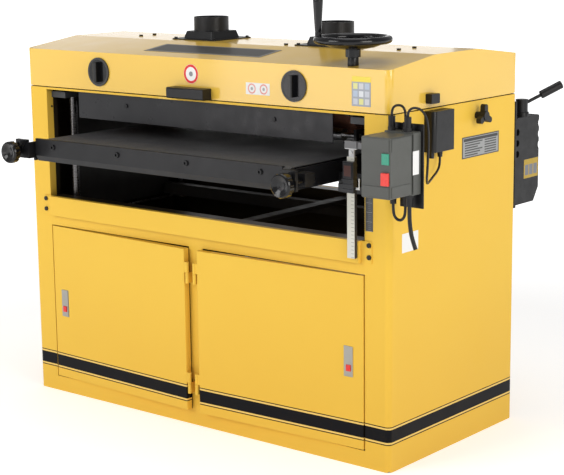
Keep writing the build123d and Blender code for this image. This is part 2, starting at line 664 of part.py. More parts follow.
def take_up_blocks():
    """Sliding blocks that carry the idler roller's ends."""
    blocks = []
    for side in SIDES:
        x0, x1 = mirrored(SIDE_PLATE_OUT + 0.4, 522, side)
        carrier = block(x0, x1, -ROLLER_Y - 20, -ROLLER_Y + 20, ROLLER_Z - 17, ROLLER_Z + 17)
        carrier -= rod_x(*mirrored(470, 500.6, side), -ROLLER_Y, ROLLER_Z, 10.05)
        carrier -= rod_y(side * 511.5, -470, -400, 792, 6.35)
        blocks.append(carrier)
    return blocks


def tension_knob(side):
    """Fluted knob with a dished face, on its long adjusting screw."""
    outline = make_face(Polyline((0, 0), (32, 0), (32, 16), (30, 20), (27, 22), (22, 20.5), (12, 16), (0, 14),
                                 close=True))
    knob = revolve(outline, Axis.Y)
    for flute in range(10):
        knob -= Rot(0, 36 * flute, 0) * rod_y(34.5, -1, 17, 0, 4.5)
    knob = Pos(0, -530, 0) * Rot(180, 0, 0) * knob
    knob += rod_y(0, -530, -509, 0, 13) + rod_y(0, -530, -408, 0, 6)
    return Pos(side * 511.5, 0, 792) * knob


def feed_gearbox():
    """Gearbox with a back plate, a ribbed cover, its shaft sleeve and lever hub."""
    plate = block(GEARBOX_LEFT, GEARBOX_RIGHT, GEARBOX_FRONT, GEARBOX_FRONT + 8, GEARBOX_LOW, 925)
    cover = block(GEARBOX_LEFT + 6, GEARBOX_RIGHT, GEARBOX_FRONT + 8, GEARBOX_REAR, GEARBOX_LOW + 7, GEARBOX_HIGH)
    cover = chamfer(cover.edges().filter_by(Axis.X).sort_by(Axis.Z)[0:2].sort_by(Axis.Y)[-1], 40, 27)
    cover = fillet(cover.edges().filter_by(Axis.X).sort_by(Axis.Z)[-2:], 7)
    for rib in range(3):
        z = 770 + 32 * rib
        cover -= rod_x(GEARBOX_RIGHT - 12, GEARBOX_RIGHT + 1, GEARBOX_FRONT + 14, z, 10)
        cover -= rod_x(GEARBOX_LEFT, GEARBOX_RIGHT + 1, GEARBOX_REAR + 9, z + 16, 14)
    box = plate + cover
    box += block(SIDE_PLATE_OUT, GEARBOX_LEFT + 8, 400, 470, 772, 815)
    box += rod_z(LEVER_X, LEVER_Y, GEARBOX_HIGH - 2, 888, 21)
    box += rod_z(LEVER_X, LEVER_Y, 880, 921, 9)
    return box - rod_x(470, 548, ROLLER_Y, ROLLER_Z, 10.4)


def speed_lever():
    """Hub and inclined arm with a fat grip."""
    hub = rod_z(0, 0, 888.4, 925, 18) - rod_z(0, 0, 880, 921.4, 9.06)
    lean = math.degrees(math.atan2(56, 113))
    arm = Pos(0, 0, 908) * Rot(0, 0, 45) * Rot(0, -lean, 0) * rod_x(12, 72, 0, 0, 5)
    grip = Pos(0, 0, 908) * Rot(0, 0, 45) * Rot(0, -lean, 0) * rod_x(62, 132, 0, 0, 12)
    grip = fillet(grip.edges(), 3)
    return Pos(LEVER_X, LEVER_Y, 0) * (hub + (arm - rod_z(0, 0, 880, 921.4, 9.06)) + grip)


def readout_head():
    """Sliding head on the measuring beam, carried by the front right lift lug."""
    low, high = 753, 835
    head = block(558, 592, -349, -332, low, high) - block(562.5, 587.5, -337.5, -331, low - 1, high + 1)
    head -= block(550, 600, -337.5, -331, 829, high + 1)
    head += block(561, 589, -352, -349, 792, 830)
    for step in range(3):
        head += block(556, 594, -351, -338, low + 4 + 13 * step, low + 10 + 13 * step)
    arm = block(543, 557, -349, -264, 755, 775) + block(543, 559, -349, -338, 755, 775)
    pointer = block(591, 606, -341, -339, 762, 768) + block(603, 606, -341, -339, 762, 792)
    return head + arm + pointer


def readout_beam():
    """Fixed measuring beam, its neck, and its top bracket and foot."""
    beam = block(BEAM_LEFT, BEAM_RIGHT, -337, -326, 578, 846)
    neck = block(567, 583, -334, -328, 846, 868) + rod_y(575, -337.3, -334, 857, 5)
    bracket = block(556, 594, -337.3, -334, 866, 887) + block(580, 612, -334, -330, 868, 885)
    bracket += block(THROAT + 4, 612, -331, -DEPTH / 2, 868, 885) + block(567, 583, -335, -330, 866, 880)
    foot = block(BEAM_LEFT + 3, BEAM_RIGHT - 3, -326, -DEPTH / 2 - APRON_PROUD, 585, 615)
    return beam + neck + bracket + foot


# ---- pressure rollers -----------------------------------------------------------
def pressure_frame():
    """Two side bars with four guide pins; it floats on springs over the work."""
    bars = []
    for side in SIDES:
        x0, x1 = mirrored(500, 508, side)
        bar = block(x0, x1, -222, 222, 868, 898)
        for end in SIDES:
            bar -= rod_x(x0 - 1, x1 + 1, end * 203, 880, 7.05)
            bar += rod_z(side * 504, end * GUIDE_Y, 896, 922, 6)
            bar += rod_z(side * 504, end * GUIDE_Y, 920.5, 925, 9)
        bars.append(bar)
    tie = rod_x(-500, 500, 0, 883, 6)
    return bars[0] + bars[1] + tie


def pressure_roller(end):
    roller = rod_x(-455, 455, end * 203, 880, 16.5)
    return roller + rod_x(-507, 507, end * 203, 880, 7)


# ---- electrics ------------------------------------------------------------------
def switch_plate():
    """Mounting plate that reaches out past the cabinet's front right corner."""
    plate = block(715, 786, SWITCH_BACK, -DEPTH / 2, 728, 943)
    plate += block(690, 716, SWITCH_BACK, -DEPTH / 2, SWITCH_LOW, 943)
    return plate + block(622, 691, SWITCH_BACK, -DEPTH / 2, 790, 900)


def switch_base():
    """Back box with the sunk neck that the cover closes on."""
    base = block(SWITCH_LEFT, SWITCH_RIGHT, SWITCH_SPLIT + 9, SWITCH_BACK, SWITCH_LOW, SWITCH_HIGH)
    base = fillet(base.edges().filter_by(Axis.Y), 3)
    return base + block(SWITCH_LEFT + 4, SWITCH_RIGHT - 4, SWITCH_SPLIT + 1, SWITCH_SPLIT + 10,
                        SWITCH_LOW + 4, SWITCH_HIGH - 4)


def switch_cover():
    """Hollow cover with drafted ends, an embossed band and two button windows."""
    cover = block(SWITCH_LEFT, SWITCH_RIGHT, SWITCH_FRONT, SWITCH_SPLIT, SWITCH_LOW + 3, SWITCH_HIGH - 3)
    cover = fillet(cover.edges().filter_by(Axis.Y), 4)
    cover = fillet(cover.faces().sort_by(Axis.Y)[0].edges(), 2)
    for low, high in ((SWITCH_LOW + 3, SWITCH_LOW + 38), (SWITCH_HIGH - 42, SWITCH_HIGH - 3)):
        cover += block(SWITCH_LEFT + 4, SWITCH_RIGHT - 4, SWITCH_FRONT - 1.8, SWITCH_FRONT + 1, low + 4, high - 4)
        cover += block(SWITCH_RIGHT - 1, SWITCH_RIGHT + 1.2, SWITCH_FRONT + 5, SWITCH_SPLIT - 4, low + 4, high - 4)
    cover -= block(SWITCH_LEFT + 3, SWITCH_RIGHT - 3, SWITCH_FRONT + 3, SWITCH_SPLIT + 1,
                   SWITCH_LOW + 6, SWITCH_HIGH - 6)
    for low, high in ((855, 883), (803, 835)):
        cover -= block(752.7, 774.3, SWITCH_FRONT - 2, SWITCH_FRONT + 4, low - 0.3, high + 0.3)
    return cover


def push_button(low, high, proud):
    """Square push button in its window, with a wider foot behind the cover."""
    button = block(753, 774, SWITCH_FRONT - proud, SWITCH_FRONT + 12, low, high)
    return fillet(button.faces().sort_by(Axis.Y)[0].edges(), 1.5)


def control_box():
    """Small enclosure on the cabinet's right side, with a rounded front edge."""
    box = block(WIDTH / 2, 713, -156, -63, 845, 953)
    return fillet(box.edges().filter_by(Axis.Z).sort_by(Axis.X)[-2:].sort_by(Axis.Y)[0], 12)


TOP_GLANDS = ((703, -334, 962, 11), (738, -324, 947, 7.5), (754.5, -337, 962, 11))
LOW_GLANDS = ((708, -334, 737, 10), (738, -323, 737, 8), (758, -334, 735, 11))
BOX_GLANDS = ((697, -145, 829, 8), (697, -106, 829, 8))


def gland(x, y, root, tip, radius):
    """A hexagonal nut under a round clamping dome."""
    low, high = min(root, tip), max(root, tip)
    nut_low = low if tip > root else high - 9
    nut = Pos(x, y, nut_low) * extrude(RegularPolygon(radius, 6), amount=9)
    return nut + rod_z(x, y, low, high, radius * 0.82)


def cable_glands():
    glands = [gland(x, y, SWITCH_HIGH, tip, radius) for x, y, tip, radius in TOP_GLANDS]
    glands += [gland(x, y, SWITCH_LOW, tip, radius) for x, y, tip, radius in LOW_GLANDS]
    glands += [gland(x, y, 845, tip, radius) for x, y, tip, radius in BOX_GLANDS]
    return glands


POWER_CORD = ((758, -334, 735), (758, -334, 709), (761, -334.5, 680), (767, -334.5, 651), (777, -333, 625))
TOP_LOOP = ((703, -334, 962), (703, -334, 976), (711, -331.5, 988), (728, -327, 989), (737, -324.5, 978),
            (738, -324, 962), (738, -324, 947))
LOW_LOOP = ((708, -334, 737), (708, -334, 720), (711, -333, 704), (720, -330.5, 695), (729, -327, 695),
            (736, -324, 704), (738, -323, 720), (738, -323, 737))
CONTROL_LEAD = ((754.5, -337, 962), (754.5, -337, 975), (762, -328, 985), (775, -314, 982), (783, -301, 966),
                (785, -293, 940), (784, -288, 902), (780, -284, 862), (774, -278, 822), (764, -266, 794),
                (745, -236, 776), (722, -182, 782), (705, -128, 794), (697, -106, 808), (697, -106, 829))


def side_plates():
    """Blank plates on the right side, on the starter, and the height scale."""
    side = WIDTH / 2
    plates = [block(side, side + 0.8, 27, 214, 803, 862)]
    plates.append(block(side, side + 0.5, -255, -181, 590, 641))
    plates.append(block(SWITCH_RIGHT, SWITCH_RIGHT + 0.5, -349, -322, 818, 878))
    plates.append(block(603, 627, -311, -DEPTH / 2, 650, 760))
    plates.append(block(-130, -78, -DEPTH / 2 - 0.6, -DEPTH / 2, 951, BODY_TOP))
    return plates


def side_knob():
    """Three-armed clamp knob on a short spindle."""
    knob = rod_x(WIDTH / 2 + 14, WIDTH / 2 + 34, 0, 0, 13)
    for arm in range(3):
        lobe = block(WIDTH / 2 + 17, WIDTH / 2 + 32, -8, 8, 0, 24) + rod_x(WIDTH / 2 + 17, WIDTH / 2 + 32, 0, 24, 8)
        knob += Rot(120 * arm, 0, 0) * lobe
    knob += rod_x(WIDTH / 2 + 0.4, WIDTH / 2 + 16, 0, 0, 10)
    return Pos(0, 98, 917) * knob


def cabinet_fasteners():
    """Hexagon heads on the aprons' ears and button heads on the guards."""
    heads = []
    for end in SIDES:
        for side in SIDES:
            for z in (581, 613):
                y0 = end * (DEPTH / 2 + SHEET)
                heads.append(rod_y(side * 617, y0, y0 + end * 4, z, 6.5))
            heads.append(rod_y(side * 281, end * 290, end * 293.5, 918, 6.5))
    for side in SIDES:
        heads.append(rod_x(*mirrored(THROAT - 2.5, THROAT, side), -292, 897, 3))
    return heads


# ---- the whole machine, node by node --------------------------------------------
write("left_side_panel", side_panel(-1))
write("right_side_panel", side_panel(1))
write("front_panel", front_panel())
write("rear_panel", rear_panel())
write("throat_rails", *throat_rails())
write("inner_frame", *inner_frame())
write("drum_guards", *drum_guards())
write("bearing_blocks", *bearing_blocks())
write("lift_chain", lift_chain())
write("main_motor", main_motor())
write("drive_belts", *drive_belts())
write("switch_plate", switch_plate())
write("switch_base", switch_base())
write("switch_cover", switch_cover())
write("control_box", control_box())
write("cable_glands", *cable_glands())
write("readout_beam", readout_beam())
write("side_plates", *side_plates())
write("cabinet_fasteners", *cabinet_fasteners())
write("power_cord", tube(POWER_CORD, 5.5, "power_cord"))
write("top_lead_loop", tube(TOP_LOOP, 3.2, "top_lead_loop"))
write("bottom_lead_loop", tube(LOW_LOOP, 3.8, "bottom_lead_loop"))
write("control_lead", tube(CONTROL_LEAD, 3.2, "control_lead"))

for side, word in zip(SIDES, ("left", "right")):
    write(word + "_door", *door(side))
    write(word + "_latch_button", latch_button(side))
    write(word + "_hood_latch", hood_latch(side))
    write(word + "_tension_knob", tension_knob(side))
    for end, end_word in zip(SIDES, ("front", "rear")):
        write("lift_screw_" + end_word + "_" + word, lift_screw(side, end))

write("hood_shell", hood_shell())
write("hood_fittings", *hood_fittings())
write("dust_ports", *[dust_port(x, y) for x, y in PORT_PLACES])
write("latch_bezels", *latch_bezels())
write("hood_labels", *hood_labels())
write("handwheel", handwheel())
write("handwheel_grip", handwheel_grip())

write("motor_pulley", *motor_pulley())
write("front_drum", drum(-1))
write("rear_drum", drum(1))
write("pressure_frame", pressure_frame())
write("front_pressure_roller", pressure_roller(-1))
write("rear_pressure_roller", pressure_roller(1))

write("table_frame", table_frame())
write("conveyor_belt", conveyor_belt())
write("end_bars", *end_bars())
write("take_up_blocks", *take_up_blocks())
write("idler_roller", conveyor_roller(-1))
write("drive_roller", conveyor_roller(1))
write("feed_gearbox", feed_gearbox())
write("speed_lever", speed_lever())
write("readout_head", readout_head())

write("start_button", push_button(855, 883, 4))
write("stop_button", push_button(803, 835, 8))
write("side_knob", side_knob())
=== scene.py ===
import math

import bmesh
import bpy
from mathutils import Matrix, Vector


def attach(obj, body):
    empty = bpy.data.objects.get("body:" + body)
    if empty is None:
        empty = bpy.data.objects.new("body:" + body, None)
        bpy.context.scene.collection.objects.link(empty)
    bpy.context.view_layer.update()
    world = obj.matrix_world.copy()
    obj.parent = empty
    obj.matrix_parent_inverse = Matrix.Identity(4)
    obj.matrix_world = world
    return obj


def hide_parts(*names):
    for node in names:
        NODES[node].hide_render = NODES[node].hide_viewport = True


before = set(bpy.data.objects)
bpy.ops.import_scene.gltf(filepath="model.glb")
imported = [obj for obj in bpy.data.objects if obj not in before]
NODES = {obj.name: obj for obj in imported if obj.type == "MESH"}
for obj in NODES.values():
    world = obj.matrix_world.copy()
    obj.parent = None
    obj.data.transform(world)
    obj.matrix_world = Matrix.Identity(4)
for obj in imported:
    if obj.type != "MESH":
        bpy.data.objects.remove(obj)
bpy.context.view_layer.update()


# ---- camera, light and floor ------------------------------------------------
CAMERA_PLACE = Vector((3.0297, -3.6058, 1.4573))
YAW, PITCH, ROLL = 0.68808, 0.198509, -0.012226     # radians
LENS = 101.9                                        # on a 36 mm sensor


def make_camera():
    data = bpy.data.cameras.new("camera")
    data.lens = LENS
    data.sensor_width = 36
    data.clip_end = 100
    camera = bpy.data.objects.new("camera", data)
    bpy.context.scene.collection.objects.link(camera)
    back = Vector((math.sin(YAW) * math.cos(PITCH), -math.cos(YAW) * math.cos(PITCH), math.sin(PITCH)))
    right = (-back).cross(Vector((0, 0, 1))).normalized()
    up = right.cross(-back)
    turned_right = right * math.cos(ROLL) + up * math.sin(ROLL)
    turned_up = up * math.cos(ROLL) - right * math.sin(ROLL)
    axes = Matrix((turned_right, turned_up, back)).transposed().to_4x4()
    camera.matrix_world = Matrix.Translation(CAMERA_PLACE) @ axes
    bpy.context.scene.camera = camera


def area_light(name, place, aim, size, power, tint=(1, 1, 1)):
    data = bpy.data.lights.new(name, "AREA")
    data.shape = "RECTANGLE"
    data.size, data.size_y = size
    data.energy = power
    data.color = tint
    light = bpy.data.objects.new(name, data)
    bpy.context.scene.collection.objects.link(light)
    light.location = place
    light.rotation_euler = (Vector(aim) - Vector(place)).to_track_quat("-Z", "Y").to_euler()


def glow_panel(name, place, aim, size, strength, tint=(1, 1, 1)):
    """A soft box: an area light that glossy surfaces mirror as a bright patch."""
    watts = strength * size[0] * size[1] * math.pi
    area_light(name, place, aim, size, watts, tint)


def make_world():
    """Dim surroundings for light and mirroring, plain white behind the object."""
    world = bpy.data.worlds.new("studio")
    world.use_nodes = True
    nodes, links = world.node_tree.nodes, world.node_tree.links
    dim = nodes["Background"]
    dim.inputs["Color"].default_value = (1, 1, 1, 1)
    dim.inputs["Strength"].default_value = 0.36
    white = nodes.new("ShaderNodeBackground")
    white.inputs["Strength"].default_value = 1.0
    path = nodes.new("ShaderNodeLightPath")
    mix = nodes.new("ShaderNodeMixShader")
    links.new(path.outputs["Is Camera Ray"], mix.inputs[0])
    links.new(dim.outputs[0], mix.inputs[1])
    links.new(white.outputs[0], mix.inputs[2])
    links.new(mix.outputs[0], nodes["World Output"].inputs["Surface"])
    bpy.context.scene.world = world


def make_floor():
    reach = 45
    mesh = bpy.data.meshes.new("floor")
    mesh.from_pydata([(-reach, -reach, 0), (reach, -reach, 0), (reach, reach, 0), (-reach, reach, 0)], [],
                     [(0, 1, 2, 3)])
    floor = bpy.data.objects.new("floor", mesh)
    bpy.context.scene.collection.objects.link(floor)
    paper = Shader("floor_pale", (0.9, 0.9, 0.9), 0.8)
    paper.set(Specular_IOR_Level=0.1, Emission_Color=(1, 1, 1, 1))
    # painted light: the floor glows, weaker near the object and at full strength farther away
    away = paper.math("SQRT", paper.math("ADD", paper.math("POWER", paper.axis("X"), 2.0),
                                         paper.math("POWER", paper.axis("Y"), 2.0)))
    paper.links.new(paper.spread(away, 0.42, 1.0, 1.5, 5.0), paper.bsdf.inputs["Emission Strength"])
    floor.data.materials.append(paper.material)


def make_studio():
    bpy.context.scene.view_settings.view_transform = "Standard"
    make_world()
    make_floor()
    area_light("key", (-1.6, -4.6, 3.0), (0, 0, 0.6), (2.6, 2.0), 94)
    area_light("side", (4.6, -1.2, 2.2), (0.2, 0, 0.6), (2.2, 2.0), 78, (1, 0.97, 0.92))
    area_light("top", (0.2, 0.2, 4.2), (0, 0, 1.0), (3.0, 2.2), 30)
    glow_panel("back_left", (-3.6, 4.0, 1.75), (0, 0, 1.0), (2.8, 1.4), 0.9)
    glow_panel("front_low", (-0.72, -1.9, 0.80), (0.3, -0.3, 1.0), (0.9, 0.35), 2.0, (0.9, 0.84, 0.85))


# ---- material helpers ---------------------------------------------------------
class Shader:
    """A Principled material with short calls for procedural detail."""

    def __init__(self, name, colour, rough, metal=0.0):
        self.material = bpy.data.materials.new(name)
        self.material.use_nodes = True
        self.nodes = self.material.node_tree.nodes
        self.links = self.material.node_tree.links
        self.bsdf = self.nodes["Principled BSDF"]
        self.colour = (*colour, 1)
        self.bsdf.inputs["Base Color"].default_value = self.colour
        self.bsdf.inputs["Roughness"].default_value = rough
        self.bsdf.inputs["Metallic"].default_value = metal
        self.coords = self.nodes.new("ShaderNodeTexCoord")
        self.normal_socket = None

    def set(self, **values):
        for name, value in values.items():
            self.bsdf.inputs[name.replace("_", " ")].default_value = value
        return self

    def place(self):
        return self.coords.outputs["Object"]

    def axis(self, letter, source=None):
        """One coordinate, X, Y or Z, of the object-space place."""
        split = self.nodes.new("ShaderNodeSeparateXYZ")
        self.links.new(source or self.place(), split.inputs[0])
        return split.outputs[letter]

    def math(self, operation, first, second=0.0):
        node = self.nodes.new("ShaderNodeMath")
        node.operation = operation
        for socket, value in zip(node.inputs, (first, second)):
            if isinstance(value, (int, float)):
                socket.default_value = value
            else:
                self.links.new(value, socket)
        return node.outputs[0]

    def between(self, value, low, high):
        above = self.math("GREATER_THAN", value, low)
        below = self.math("LESS_THAN", value, high)
        return self.math("MULTIPLY", above, below)

    def band(self, letter, low, high):
        """One between two places along an axis."""
        return self.between(self.axis(letter), low, high)

    def normal_axis(self, letter):
        return self.axis(letter, self.coords.outputs["Normal"])

    def faces_middle(self):
        """One on faces that look towards the cabinet's middle in Y."""
        return self.math("LESS_THAN", self.math("MULTIPLY", self.normal_axis("Y"), self.axis("Y")), -0.09)

    def all_of(self, *masks):
        whole = masks[0]
        for mask in masks[1:]:
            whole = self.math("MULTIPLY", whole, mask)
        return whole

    def box_mask(self, low, high):
        """One inside a box given in metres."""
        return self.all_of(*[self.band(letter, start, end) for letter, start, end in zip("XYZ", low, high)])

    def away_from(self, first, second):
        """Distance in the plane of two axes, each given as (letter, centre)."""
        squares = []
        for letter, centre in (first, second):
            offset = self.math("SUBTRACT", self.axis(letter), centre)
            squares.append(self.math("MULTIPLY", offset, offset))
        return self.math("SQRT", self.math("ADD", *squares))

    def noise(self, scale, detail=3.0, stretch=(1, 1, 1), rough=0.5):
        mapping = self.nodes.new("ShaderNodeMapping")
        mapping.inputs["Scale"].default_value = stretch
        self.links.new(self.place(), mapping.inputs[0])
        texture = self.nodes.new("ShaderNodeTexNoise")
        texture.inputs["Scale"].default_value = scale
        texture.inputs["Detail"].default_value = detail
        texture.inputs["Roughness"].default_value = rough
        self.links.new(mapping.outputs[0], texture.inputs["Vector"])
        return texture.outputs["Fac"]

    def spread(self, value, low, high, start=0.3, end=0.7):
        """Maps a texture value onto a range."""
        node = self.nodes.new("ShaderNodeMapRange")
        self.links.new(value, node.inputs["Value"])
        node.inputs["From Min"].default_value = start
        node.inputs["From Max"].default_value = end
        node.inputs["To Min"].default_value = low
        node.inputs["To Max"].default_value = high
        return node.outputs[0]

    def current_colour(self):
        socket = self.bsdf.inputs["Base Color"]
        return socket.links[0].from_socket if socket.is_linked else None

    def paint(self, mask, colour):
        """Lays a colour over what is there, where the mask is one."""
        mix = self.nodes.new("ShaderNodeMix")
        mix.data_type = "RGBA"
        before = self.current_colour()
        if before is None:
            mix.inputs["A"].default_value = self.colour
        else:
            self.links.new(before, mix.inputs["A"])
        mix.inputs["B"].default_value = (*colour, 1)
        self.links.new(mask, mix.inputs["Factor"])
        self.links.new(mix.outputs["Result"], self.bsdf.inputs["Base Color"])
        return self

    def rough(self, value):
        self.links.new(value, self.bsdf.inputs["Roughness"])
        return self

    def metal(self, value):
        self.links.new(value, self.bsdf.inputs["Metallic"])
        return self

    def bump(self, height, strength, distance):
        node = self.nodes.new("ShaderNodeBump")
        node.inputs["Strength"].default_value = strength
        node.inputs["Distance"].default_value = distance
        self.links.new(height, node.inputs["Height"])
        if self.normal_socket is not None:
            self.links.new(self.normal_socket, node.inputs["Normal"])
        self.normal_socket = node.outputs[0]
        self.links.new(self.normal_socket, self.bsdf.inputs["Normal"])
        return self


# ---- materials ------------------------------------------------------------------
ENAMEL = (0.81, 0.52, 0.070)
ENAMEL_DEEP = (0.72, 0.38, 0.045)
GAP = (0.82, 0.56, 0.15)
LINE = (0.020, 0.014, 0.008)
BLACK = (0.004, 0.004, 0.006)
STRIPE = ((0.0755, 0.0785, LINE), (0.0785, 0.0835, GAP), (0.0835, 0.1190, BLACK), (0.1190, 0.1240, GAP),
          (0.1240, 0.1268, LINE))


def enamel(name, gloss=0.0):
    """Gold-yellow enamel: faint cloudiness, orange peel and painted shade that darkens it towards the floor.
    """
    s = Shader(name, ENAMEL, 0.3)
    s.set(Specular_IOR_Level=0.10, Coat_Weight=gloss, Coat_Roughness=0.12, Coat_IOR=1.7)
    s.paint(s.spread(s.noise(1.6, 4), 0, 0.2), ENAMEL_DEEP)
    # painted shade: the enamel turns deeper towards the floor, where less light falls
    s.paint(s.spread(s.axis("Z"), 0.22, 0, 0.0, 0.45), ENAMEL_DEEP)
    s.rough(s.spread(s.noise(9, 4), 0.28, 0.42))
    s.bump(s.noise(420, 2), 0.05, 0.0006)
    return s


def add_stripe(s, mask):
    for low, high, colour in STRIPE:
        s.paint(s.all_of(mask, s.band("Z", low, high)), colour)


def outward(s, side):
    """One on a side panel's outer faces."""
    across = s.math("GREATER_THAN", s.math("MULTIPLY", s.normal_axis("X"), side), 0.3)
    along = s.math("GREATER_THAN", s.math("MULTIPLY", s.normal_axis("Y"), s.axis("Y")), 0.09)
    return s.math("MAXIMUM", across, along)


# painted shade inside the cabinet, and the browner painted light towards its right
INNER_SHADE = (0.020, 0.015, 0.009)
INNER_LIT_BROWN = (0.10, 0.062, 0.022)


def paint_inner_shade(s, mask):
    """Painted shade on inner faces: dull dark, turning to a browner painted light towards the right."""
    s.paint(mask, INNER_SHADE)
    s.paint(s.all_of(mask, s.spread(s.axis("X"), 0, 0.9, -0.25, 0.55)), INNER_LIT_BROWN)


def cabinet_sheet_material():
    """Enamel on the cross panels, with painted shade on the faces inside the cabinet."""
    s = enamel("enamel_sheet")
    between_panels = s.band("Y", -0.308, 0.30)
    rear_half = s.math("GREATER_THAN", s.axis("Y"), 0.0)
    # painted shade on the panels' faces inside the cabinet
    paint_inner_shade(s, s.math("MAXIMUM", between_panels, s.all_of(s.faces_middle(), rear_half)))
    return s.material


def side_panel_material(side):
    s = enamel("enamel_side_" + ("right" if side > 0 else "left"))
    inward = s.math("LESS_THAN", s.math("MULTIPLY", s.normal_axis("X"), side), -0.3)
    inner = s.all_of(s.math("MAXIMUM", inward, s.faces_middle()), s.band("Y", -0.285, 0.3225))
    # painted shade on the side panel's inner faces
    paint_inner_shade(s, inner)
    add_stripe(s, outward(s, side))
    return s.material


def door_material(side):
    """Enamel with the stripe, and bare metal on the latch plate's own solid."""
    s = enamel("enamel_door_" + ("right" if side > 0 else "left"))
    facing = s.math("LESS_THAN", s.normal_axis("Y"), 0.5)
    add_stripe(s, facing)
    centre = side * 0.549
    plate = s.box_mask((centre - 0.016, -0.3175, 0.2465), (centre + 0.016, -0.3139, 0.3315))
    s.paint(plate, (0.36, 0.35, 0.32))
    s.metal(plate)
    return s.material


def steel_paint(name, colour, rough, peel=0.08):
    """Satin machine paint with faint mottling."""
    s = Shader(name, colour, rough)
    s.set(Specular_IOR_Level=0.28)
    lighter = tuple(min(1, c * 1.7 + 0.01) for c in colour)
    s.paint(s.spread(s.noise(14, 4), 0, 0.35), lighter)
    s.rough(s.spread(s.noise(30, 3), rough - 0.06, rough + 0.08))
    s.bump(s.noise(500, 2), peel, 0.0006)
    return s


def bare_steel(name, colour=(0.58, 0.58, 0.59), rough=0.28, stretch=(1, 1, 30)):
    """Turned or drawn steel with fine lines."""
    s = Shader(name, colour, rough, 1.0)
    s.rough(s.spread(s.noise(60, 4, stretch), rough - 0.08, rough + 0.12))
    s.paint(s.spread(s.noise(8, 3), 0, 0.3), tuple(c * 0.7 for c in colour))
    return s


def plastic(name, colour, rough, grain=0.25):
    """Moulded plastic with a fine spark-eroded grain."""
    s = Shader(name, colour, rough)
    s.set(Specular_IOR_Level=0.32)
    s.rough(s.spread(s.noise(40, 3), rough - 0.05, rough + 0.07))
    s.bump(s.noise(900, 2), grain, 0.0004)
    return s


def gloss_black():
    s = Shader("gloss_black", (0.004, 0.004, 0.005), 0.2)
    s.set(Specular_IOR_Level=0.3, Coat_Weight=0.15, Coat_Roughness=0.05)
    s.rough(s.spread(s.noise(25, 3), 0.14, 0.24))
    return s.material


def belt_material():
    """Charcoal rubber with a fine raised diamond tread."""
    s = Shader("belt_diamond", (0.012, 0.012, 0.013), 0.5)
    pitch = 0.0085
    waves = []
    for sign in (1, -1):
        across = s.math("MULTIPLY", s.axis("Y"), sign * 1.35)
        phase = s.math("MULTIPLY", s.math("ADD", s.axis("X"), across), 2 * math.pi / pitch)
        waves.append(s.math("ABSOLUTE", s.math("SINE", phase)))
    tread = s.math("MULTIPLY", waves[0], waves[1])
    s.paint(s.spread(tread, 0, 1.0, 0.25, 0.6), (0.15, 0.15, 0.155))
    s.paint(s.spread(s.noise(5, 4), 0, 0.25), (0.045, 0.045, 0.047))
    s.rough(s.spread(s.noise(7, 3), 0.40, 0.56))
    s.bump(tread, 0.5, 0.0010)
    return s.material


def abrasive_material():
    """Brown-red grit cloth."""
    s = Shader("abrasive_wrap", (0.16, 0.055, 0.032), 0.85)
    s.paint(s.spread(s.noise(1400, 2), 0, 0.8, 0.4, 0.6), (0.30, 0.13, 0.08))
    s.bump(s.noise(1200, 2), 0.5, 0.001)
    return s.material


def label_grid(s, low, high, plane, rows, columns, colours, edge=0.12):
    """Rows and columns of blank coloured cells over one plate."""
    first, second = plane
    width = (high[0] - low[0]) / columns
    height = (high[1] - low[1]) / rows
    index = 0
    for row in range(rows):
        for column in range(columns):
            x0 = low[0] + column * width + edge * width
            z0 = low[1] + row * height + edge * height
            mask = s.all_of(s.between(s.axis(first), x0, x0 + width * (1 - 2 * edge)),
                            s.between(s.axis(second), z0, z0 + height * (1 - 2 * edge)))
            s.paint(mask, colours[index % len(colours)])
            index += 1


def hood_label_material():
    """Blank name plate, ringed disc, two-disc sticker and a nine-cell sticker."""
    s = Shader("hood_label_print", (0.19, 0.18, 0.16), 0.4)
    s.set(Specular_IOR_Level=0.25)
    s.paint(s.all_of(s.band("X", -0.226, 0.192), s.band("Y", -0.246, -0.165)),
            (0.040, 0.038, 0.035))
    front = s.math("LESS_THAN", s.axis("Y"), -0.30)
    s.paint(front, (0.80, 0.80, 0.78))
    distance = s.away_from(("X", -0.002), ("Z", 1.028))
    s.paint(s.all_of(front, s.between(distance, 0.0195, 0.0265)), (0.70, 0.03, 0.03))
    s.paint(s.all_of(front, s.between(distance, 0.0, 0.007)), (0.25, 0.25, 0.26))
    for x in (0.221, 0.263):
        round_spot = s.away_from(("X", x), ("Z", 1.000))
        s.paint(s.all_of(front, s.between(round_spot, 0.010, 0.014)), (0.72, 0.30, 0.26))
        s.paint(s.all_of(front, s.between(round_spot, 0.0, 0.0045)), (0.35, 0.35, 0.36))
    sticker = s.all_of(front, s.band("X", 0.558, 0.622))
    s.paint(sticker, (0.36, 0.38, 0.42))
    s.paint(s.all_of(sticker, s.band("Z", 1.038, 1.053)), (0.85, 0.68, 0.10))
    tints = ((0.55, 0.57, 0.62), (0.72, 0.70, 0.30), (0.60, 0.60, 0.62), (0.45, 0.52, 0.62),
             (0.70, 0.72, 0.74))
    label_grid(s, (0.562, 0.977), (0.618, 1.037), ("X", "Z"), 3, 3, tints)
    return s.material


